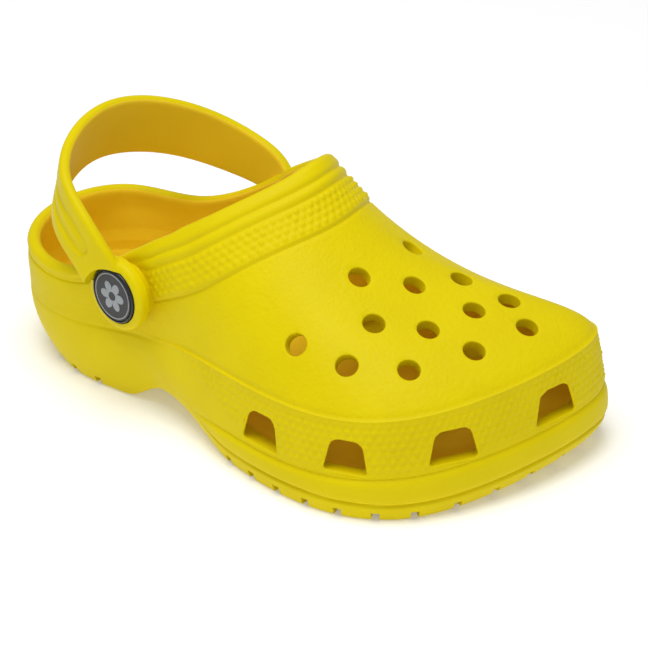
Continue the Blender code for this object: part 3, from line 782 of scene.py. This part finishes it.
def make_body(materials):
    """The foam moulding with its vents, side windows, rivet seats and tread."""
    bm = body_skin()
    tree = BVHTree.FromBMesh(bm)
    body = make_mesh("clog_shell", bm, materials)
    vents, tread = bmesh.new(), bmesh.new()
    windows, notches = (bmesh.new(), bmesh.new()), (bmesh.new(), bmesh.new())
    for x, s in VENTS:
        flared_cutter(vents, tree, vent_axes(x, s), circle(VENT_RADIUS - 0.1, 40), VENT_ROUND, CUT_DEPTH)
    for number, (u, wide) in enumerate(WINDOWS):
        axes = window_axes(u)
        shape = [(px * wide, py) for px, py in window_outline()]
        flared_cutter(windows[number % 2], tree, axes, shape, WINDOW_ROUND, CUT_DEPTH,
                      window_draw(axes[3], u))
    for number, place in enumerate(notch_places()):
        add_notch(notches[number % 2], *place)
    add_tread(tread)
    rooms, seats, bores = bmesh.new(), bmesh.new(), bmesh.new()
    for side in (-1, 1):
        add_disc(rooms, BOSS_RADIUS + BOSS_CLEAR, SEAT_X - GAP, SEAT_X + ROOM_REACH, side)
        add_disc(seats, SEAT_RADIUS, WALL_INNER_X + 1, SEAT_X, side)
        turned(bores, ((0, BORE_START), (CAP_RADIUS + CAP_CLEAR, BORE_START),
                       (CAP_RADIUS + CAP_CLEAR, WALL_INNER_X), (HOLE_RADIUS, WALL_INNER_X),
                       (HOLE_RADIUS, BORE_END), (0, BORE_END)), side)
    openings = (tread,) + windows + (vents,) + notches + (rooms,)
    cut(body, [(make_mesh("cutter", tool), "DIFFERENCE") for tool in openings])
    cut(body, ((make_mesh("seats", seats), "UNION"), (make_mesh("bores", bores), "DIFFERENCE")))
    finish_shading(body, 50)
    return body


def turned(bm, profile, side, segments=96):
    """Turned solid on a rivet axis, from its profile of (radius, distance from the middle plane)."""
    at = rivet_axis(side)
    rows, made = [], []
    for radius, height in profile:
        if radius < 1e-6:
            rows.append([bm.verts.new(at @ Vector((0, 0, height * MM)))])
            continue
        turn = np.arange(segments) * 2 * np.pi / segments
        ring = [Vector((radius * MM * math.cos(a), radius * MM * math.sin(a), height * MM)) for a in turn]
        rows.append([bm.verts.new(at @ point) for point in ring])
    for lower, upper in zip(rows, rows[1:]):
        for k in range(segments):
            j = (k + 1) % segments
            face = (lower[k % len(lower)], lower[j % len(lower)],
                    upper[j % len(upper)], upper[k % len(upper)])
            unique = list(dict.fromkeys(face))
            if len(unique) > 2:
                made.append(bm.faces.new(unique))
    face_outwards(bm, made)


def rounded_profile(corners, radii, steps=5):
    """Profile with rounded corners: corners are (radius, height), and each end stays as it is."""
    points = [corners[0]]
    for k in range(1, len(corners) - 1):
        here = Vector(corners[k])
        if radii[k] <= 0:
            points.append(tuple(here))
            continue
        before = (Vector(corners[k - 1]) - here).normalized()
        after = (Vector(corners[k + 1]) - here).normalized()
        half = before.angle(after) / 2
        reach = radii[k] / math.tan(half)
        centre = here + (before + after).normalized() * (radii[k] / math.sin(half))
        start, end = here + before * reach - centre, here + after * reach - centre
        for step in range(steps + 1):
            t = step / steps
            points.append(tuple(centre + (start * (1 - t) + end * t).normalized() * radii[k]))
    points.append(corners[-1])
    return points


def band_bmesh(count):
    """The strap's band as a closed sweep with rounded edges."""
    bm = bmesh.new()
    rows = []
    for point, width, face, share in zip(*strap_frames(count)):
        half_width = (STRAP_WIDTH_END + (STRAP_WIDTH_BACK - STRAP_WIDTH_END) * share**WIDTH_FULLNESS) / 2
        half_thick = STRAP_THICK / 2
        row = []
        for px, py in rounded_outline(((-half_width, -half_thick), (half_width, -half_thick),
                                       (half_width, half_thick), (-half_width, half_thick)), (1.55,) * 4, 5):
            row.append(bm.verts.new(scene_point(*(point + width * px + face * py))))
        rows.append(row)
    for lower, upper in zip(rows, rows[1:]):
        for k in range(len(lower)):
            j = (k + 1) % len(lower)
            bm.faces.new((lower[k], lower[j], upper[j], upper[k]))
    bm.faces.new(rows[0][::-1])
    bm.faces.new(rows[-1])
    face_outwards(bm, list(bm.faces))
    return bm


def strap_relief(item):
    """Press the long leaf-shaped panels into the outer face of the band, near each end."""
    line, width, face, _ = strap_frames(321)
    run = np.concatenate([[0], np.cumsum(np.linalg.norm(np.diff(line, axis=0), axis=1))])
    mesh = item.data
    co = np.zeros(len(mesh.vertices) * 3)
    mesh.vertices.foreach_get("co", co)
    co = co.reshape(-1, 3) / MM
    design = np.stack([co[:, 0] + MIDDLE_X, MIDDLE_S - co[:, 1], co[:, 2]], -1)
    nearest = np.zeros(len(design), int)
    for start in range(0, len(design), 4000):
        part = design[start:start + 4000]
        nearest[start:start + 4000] = ((part[:, None] - line[None]) ** 2).sum(2).argmin(1)
    offset = design - line[nearest]
    across = (offset * width[nearest]).sum(1)
    depth = (offset * face[nearest]).sum(1)
    along = np.minimum(run[nearest], run[-1] - run[nearest])
    t = np.clip((along - LEAF_START) / (LEAF_END - LEAF_START), 0, 1)
    half = LEAF_HALF * np.sqrt(np.clip(np.sin(np.pi * t**0.55), 0, 1))
    off = np.abs(across - LEAF_OFFSET * t)
    inside = smoothstep(half - off, -0.5, 0.7) * (t > 0) * (t < 1)
    ends = smoothstep(t, 0.03, 0.16) * (1 - smoothstep(t, 0.6, 0.95))
    heart = smoothstep(half * 0.42 - off, -0.6, 0.8) * ends
    sink = LEAF_DEPTH * inside - 0.85 * LEAF_DEPTH * heart
    sink = sink * smoothstep(depth, 0.4, 1.0) * smoothstep(along, 8, 12)
    design -= face[nearest] * sink[:, None]
    co = np.stack([design[:, 0] - MIDDLE_X, MIDDLE_S - design[:, 1], design[:, 2]], -1) * MM
    mesh.vertices.foreach_set("co", co.ravel())
    mesh.update()


def paint_bounce_light_on_inner_face(item):
    """Give the faces of the band that look at the ankle the second material, the foam with painted bounce
    light.
    """
    line, _, face, _ = strap_frames(121)
    line = np.stack([line[:, 0] - MIDDLE_X, MIDDLE_S - line[:, 1], line[:, 2]], -1) * MM
    face = np.stack([face[:, 0], -face[:, 1], face[:, 2]], -1)
    mesh = item.data
    count = len(mesh.polygons)
    centres, normals = np.zeros(count * 3), np.zeros(count * 3)
    mesh.polygons.foreach_get("center", centres)
    mesh.polygons.foreach_get("normal", normals)
    centres, normals = centres.reshape(-1, 3), normals.reshape(-1, 3)
    nearest = np.zeros(count, int)
    for start in range(0, count, 4000):
        part = centres[start:start + 4000]
        nearest[start:start + 4000] = ((part[:, None] - line[None]) ** 2).sum(2).argmin(1)
    # These faces take the warmer foam colour that is painted bounce light
    inner = (normals * face[nearest]).sum(1) < -0.6
    mesh.polygons.foreach_set("material_index", inner.astype(int))


def make_strap(materials):
    """Heel strap: band and end bosses melted into one soft moulding, then pressed and bored."""
    strap = make_mesh("heel_band", band_bmesh(161), materials)
    inside = SEAT_X + GAP
    outside = inside + BOSS_THICK
    bosses, bores = bmesh.new(), bmesh.new()
    for side in (-1, 1):
        corners = ((0, inside), (BOSS_RADIUS, inside), (BOSS_RADIUS, outside), (0, outside))
        turned(bosses, rounded_profile(corners, (0, 0.9, 1.7, 0)), side)
        pocket, end = outside - HEAD_POCKET, outside + STRAP_BORE_PAST
        turned(bores, ((0, STRAP_BORE_START), (HOLE_RADIUS, STRAP_BORE_START), (HOLE_RADIUS, pocket),
                       (HEAD_RADIUS + GAP, pocket), (HEAD_RADIUS + GAP, end), (0, end)), side)
    cut(strap, ((make_mesh("bosses", bosses), "UNION"),))
    melt = strap.modifiers.new("melt", "REMESH")
    melt.mode = "VOXEL"
    melt.voxel_size = STRAP_VOXEL * MM
    soften = strap.modifiers.new("soften", "SMOOTH")
    soften.factor = 0.5
    soften.iterations = 9
    evaluated(strap)
    strap_relief(strap)
    cut(strap, ((make_mesh("strap_bores", bores), "DIFFERENCE"),))
    paint_bounce_light_on_inner_face(strap)
    finish_shading(strap, 45)
    return strap


def flower_outline(count=120):
    """Plain six-petalled flower, as a closed outline of radius 1."""
    turn = np.arange(count) * 2 * np.pi / count
    reach = 0.42 + 0.58 * np.abs(np.cos(3 * turn)) ** 0.62
    return np.stack([np.cos(turn), np.sin(turn)], -1) * reach[:, None]


def raised_prism(bm, side, outline_points, low, high, material):
    """Flat raised shape on a rivet's face, with a slightly drawn-in top."""
    at = rivet_axis(side)
    rings, made = [], []
    for height, inset in ((low, 1.0), (high - 0.06, 1.0), (high, 0.975)):
        rings.append([bm.verts.new(at @ Vector((px * inset * MM, py * inset * MM, height * MM)))
                      for px, py in outline_points])
    for lower, upper in zip(rings, rings[1:]):
        for k in range(len(lower)):
            j = (k + 1) % len(lower)
            made.append(bm.faces.new((lower[k], lower[j], upper[j], upper[k])))
    made += [bm.faces.new(rings[-1]), bm.faces.new(rings[0][::-1])]
    for face in made:
        face.material_index = material
    face_outwards(bm, made)


def make_rivet(side, name, black, face, print_grey):
    """One snap rivet: head with hollow shank, the disc in the head with its ring and flower, and the cap."""
    head_under = SEAT_X + GAP + BOSS_THICK - HEAD_POCKET + GAP
    head_top = head_under + HEAD_THICK
    recess = head_top - BADGE_THICK - GAP
    flange = WALL_INNER_X - GAP
    head = bmesh.new()
    turned(head, rounded_profile((
        (0, recess), (BADGE_RADIUS + GAP, recess), (BADGE_RADIUS + GAP, head_top), (HEAD_RADIUS, head_top),
        (HEAD_RADIUS, head_under), (SHANK_RADIUS, head_under), (SHANK_RADIUS, WALL_INNER_X),
        (PIN_BORE, WALL_INNER_X), (PIN_BORE, flange + PIN_LENGTH + 0.5), (0, flange + PIN_LENGTH + 0.5)),
        (0, 0, 0.18, 0.6, 0.3, 0.3, 0.3, 0.2, 0, 0)), side)
    rivet = make_mesh(name + "_button", head, (black,))
    finish_shading(rivet, 40)
    disc = bmesh.new()
    low, high = recess + GAP, head_top
    rings = [(BADGE_RADIUS * k / 8, high) for k in range(8)]
    corners = ((BADGE_RADIUS * 0.99, high), (BADGE_RADIUS, high), (BADGE_RADIUS, low), (0, low))
    turned(disc, rings + rounded_profile(corners, (0, 0.05, 0.1, 0), 3), side)
    print_low = len(disc.faces)
    ring_outer, ring_inner = RING_RADIUS + RING_WIDTH / 2, RING_RADIUS - RING_WIDTH / 2
    corners = ((ring_inner, high - 0.1), (ring_inner, high + 0.08), (ring_outer, high + 0.08),
               (ring_outer, high - 0.1), (ring_inner, high - 0.1))
    turned(disc, rounded_profile(corners, (0, 0.03, 0.03, 0, 0), 2), side)
    disc.faces.ensure_lookup_table()
    for item in disc.faces[print_low:]:
        item.material_index = 1
    petals = flower_outline()
    raised_prism(disc, side, petals * FLOWER_RADIUS, high - 0.1, high + 0.1, 1)
    raised_prism(disc, side, circle(FLOWER_HEART, 48), high + 0.02, high + 0.2, 0)
    badge = make_mesh(name + "_emblem", disc, (face, print_grey))
    finish_shading(badge, 40)
    pin = bmesh.new()
    corners = ((0, flange + PIN_LENGTH), (PIN_RADIUS, flange + PIN_LENGTH), (PIN_RADIUS, flange),
               (CAP_RADIUS, flange), (CAP_RADIUS, flange - CAP_THICK), (0, flange - CAP_THICK))
    turned(pin, rounded_profile(corners, (0, 0.3, 0.2, 0.25, 0.8, 0)), side)
    cap = make_mesh(name + "_inside_cap", pin, (black,))
    finish_shading(cap, 40)
    return rivet, badge, cap


def new_material(name):
    """Material with a Principled shader, and its node tree."""
    material = bpy.data.materials.new(name)
    material.use_nodes = True
    tree = material.node_tree
    return material, tree, tree.nodes["Principled BSDF"]


def noise(tree, scale, detail, roughness=0.5):
    """Noise texture on object coordinates."""
    place = tree.nodes.new("ShaderNodeTexCoord")
    texture = tree.nodes.new("ShaderNodeTexNoise")
    texture.inputs["Scale"].default_value = scale
    texture.inputs["Detail"].default_value = detail
    texture.inputs["Roughness"].default_value = roughness
    tree.links.new(place.outputs["Object"], texture.inputs["Vector"])
    return texture


def mapped(tree, value, low, high, to_low, to_high):
    """Map Range on a value."""
    node = tree.nodes.new("ShaderNodeMapRange")
    for name, number in (("From Min", low), ("From Max", high), ("To Min", to_low), ("To Max", to_high)):
        node.inputs[name].default_value = number
    tree.links.new(value, node.inputs["Value"])
    return node.outputs["Result"]


def foam_material(name, colours, grain_depth, roughness):
    """Closed-cell foam: saturated, matt, very slightly mottled, with a fine leather grain."""
    material, tree, shader = new_material(name)
    patches = noise(tree, 55, 3)
    ramp = tree.nodes.new("ShaderNodeValToRGB")
    ramp.color_ramp.elements[0].position = 0.3
    ramp.color_ramp.elements[1].position = 0.7
    ramp.color_ramp.elements[0].color = (*colours[0], 1)
    ramp.color_ramp.elements[1].color = (*colours[1], 1)
    tree.links.new(patches.outputs["Fac"], ramp.inputs["Fac"])
    tree.links.new(ramp.outputs["Color"], shader.inputs["Base Color"])
    fine = noise(tree, 900, 2)
    tree.links.new(mapped(tree, fine.outputs["Fac"], 0.3, 0.7, roughness - 0.05, roughness + 0.06),
                   shader.inputs["Roughness"])
    place = tree.nodes.new("ShaderNodeTexCoord")
    cells = tree.nodes.new("ShaderNodeTexVoronoi")
    cells.feature = "SMOOTH_F1"
    cells.inputs["Scale"].default_value = 850
    cells.inputs["Smoothness"].default_value = 0.6
    tree.links.new(place.outputs["Object"], cells.inputs["Vector"])
    wrinkle = noise(tree, 420, 3, 0.6)
    height = tree.nodes.new("ShaderNodeMath")
    height.operation = "MULTIPLY_ADD"
    height.inputs[1].default_value = 0.5
    tree.links.new(cells.outputs["Distance"], height.inputs[0])
    tree.links.new(wrinkle.outputs["Fac"], height.inputs[2])
    bump = tree.nodes.new("ShaderNodeBump")
    bump.inputs["Strength"].default_value = 1.0
    bump.inputs["Distance"].default_value = grain_depth * MM
    tree.links.new(height.outputs["Value"], bump.inputs["Height"])
    tree.links.new(bump.outputs["Normal"], shader.inputs["Normal"])
    shader.inputs["Specular IOR Level"].default_value = 0.1
    return material


def plastic_material(name, dark, light, roughness):
    """Hard moulded plastic with a slightly uneven gloss."""
    material, tree, shader = new_material(name)
    patches = noise(tree, 260, 3)
    ramp = tree.nodes.new("ShaderNodeValToRGB")
    ramp.color_ramp.elements[0].color = (*dark, 1)
    ramp.color_ramp.elements[1].color = (*light, 1)
    tree.links.new(patches.outputs["Fac"], ramp.inputs["Fac"])
    tree.links.new(ramp.outputs["Color"], shader.inputs["Base Color"])
    fine = noise(tree, 1400, 2)
    tree.links.new(mapped(tree, fine.outputs["Fac"], 0.3, 0.7, roughness - 0.04, roughness + 0.05),
                   shader.inputs["Roughness"])
    bump = tree.nodes.new("ShaderNodeBump")
    bump.inputs["Strength"].default_value = 0.6
    bump.inputs["Distance"].default_value = 0.02 * MM
    tree.links.new(fine.outputs["Fac"], bump.inputs["Height"])
    tree.links.new(bump.outputs["Normal"], shader.inputs["Normal"])
    return material


def area_light(name, place, aim, size, power):
    """Soft square light aimed at a point."""
    data = bpy.data.lights.new(name, "AREA")
    data.shape = "DISK"
    data.size = size
    data.energy = power
    item = bpy.data.objects.new(name, data)
    item.location = place
    item.rotation_euler = (Vector(place) - Vector(aim)).to_track_quat("Z", "Y").to_euler()
    bpy.context.scene.collection.objects.link(item)


def make_studio():
    """Pale floor, soft lights, bright surroundings and the camera."""
    scene = bpy.context.scene
    world = bpy.data.worlds.new("studio")
    scene.world = world
    world.use_nodes = True
    world.node_tree.nodes["Background"].inputs["Color"].default_value = (1, 1, 1, 1)
    world.node_tree.nodes["Background"].inputs["Strength"].default_value = WORLD_LIGHT
    bm = bmesh.new()
    bmesh.ops.create_grid(bm, x_segments=1, y_segments=1, size=4)
    mesh = bpy.data.meshes.new("floor")
    bm.to_mesh(mesh)
    bm.free()
    floor = bpy.data.objects.new("floor", mesh)
    scene.collection.objects.link(floor)
    pale, tree, shader = new_material("pale_floor")
    shader.inputs["Base Color"].default_value = (0.95, 0.95, 0.95, 1)
    shader.inputs["Emission Color"].default_value = (1, 1, 1, 1)
    shader.inputs["Emission Strength"].default_value = FLOOR_GLOW
    shader.inputs["Roughness"].default_value = 0.9
    shader.inputs["Specular IOR Level"].default_value = 0.0
    mesh.materials.append(pale)
    for light in LIGHTS:
        area_light(*light)
    data = bpy.data.cameras.new("camera")
    data.lens = LENS
    data.sensor_width = 36
    data.clip_start = 0.01
    camera = bpy.data.objects.new("camera", data)
    scene.collection.objects.link(camera)
    turn, rise = math.radians(VIEW_TURN), math.radians(VIEW_RISE)
    back = Vector((math.sin(turn) * math.cos(rise), -math.cos(turn) * math.cos(rise), math.sin(rise)))
    camera.location = scene_point(*VIEW_TARGET) + back * VIEW_DISTANCE
    camera.rotation_euler = back.to_track_quat("Z", "Y").to_euler()
    scene.camera = camera
    scene.view_settings.view_transform = "Standard"


def main():
    """Build every piece round the frame and light it."""
    wall = foam_material("foam_walls", FOAM, WALL_GRAIN, 0.5)
    grained = foam_material("foam_grained", FOAM, UPPER_GRAIN, 0.5)
    # The inside foam is the same foam with painted bounce light: a warmer, brighter colour for the faces
    # inside the shoe and the strap's inner face
    inner = foam_material("foam_inside_painted_bounce", FOAM_INSIDE_PAINTED_BOUNCE, INSIDE_GRAIN, 0.55)
    strap_foam = foam_material("foam_strap", FOAM, STRAP_GRAIN, 0.42)
    black = plastic_material("black_plastic", (0.006, 0.006, 0.007), (0.014, 0.014, 0.015), 0.34)
    face = plastic_material("emblem_black", (0.010, 0.010, 0.011), (0.018, 0.018, 0.02), 0.42)
    grey = plastic_material("emblem_grey", (0.28, 0.30, 0.32), (0.36, 0.38, 0.40), 0.45)
    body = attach(make_body((wall, grained, inner)), "clog")
    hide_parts("clog_body")
    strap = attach(make_strap((strap_foam, inner)), "strap")
    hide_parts("heel_strap")
    for side, name in ((-1, "lateral"), (1, "medial")):
        rivet, badge, cap = make_rivet(side, name, black, face, grey)
        for piece, node, slot in ((rivet, "_rivet", "rivet_plastic"), (badge, "_badge", "badge_plastic"),
                                  (cap, "_cap", "rivet_plastic")):
            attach(piece, name + "_snap")
            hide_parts(name + node)
    make_studio()


main()
